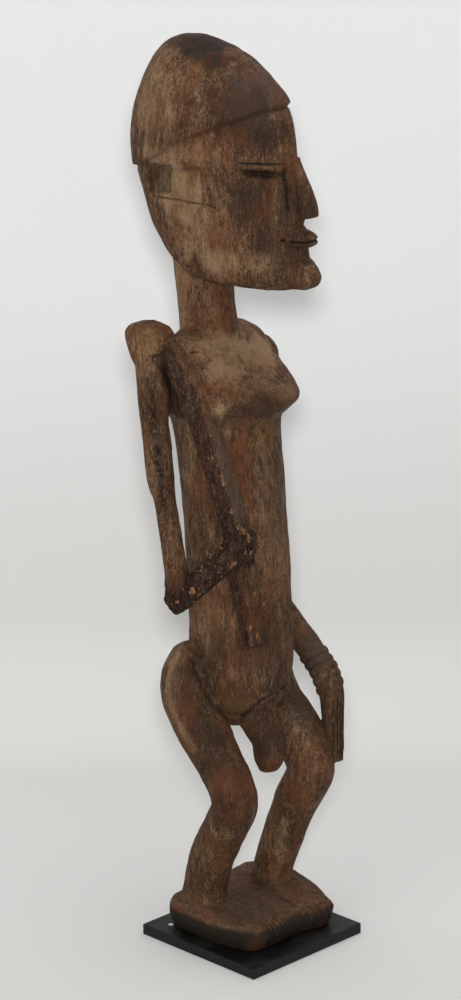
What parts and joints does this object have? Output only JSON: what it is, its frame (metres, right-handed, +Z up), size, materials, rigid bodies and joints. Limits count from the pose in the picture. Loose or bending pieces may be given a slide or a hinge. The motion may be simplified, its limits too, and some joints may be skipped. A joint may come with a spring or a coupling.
{
  "type": "carved ancestor figure",
  "caption": "Standing carved wooden ancestor figure with a tall capped head and bent knees, a tool over its right shoulder, on a thin square display plate.",
  "frame": {"origin": "centre of the display plate's underside", "axes": "+Z up, the figure faces -Y, its own left side is towards +X"},
  "size_m": [0.1425, 0.157, 0.6495],
  "materials": {
    "old_carved_wood": "old dark carved wood, dry and dusty, with open vertical grain, cracks, soot and worn reddish patches",
    "black_plate": "satin black paint, lightly dusty"
  },
  "bodies": {
    "root": {"figure": "old_carved_wood", "display_plate": "black_plate"}
  },
  "joints": []
}
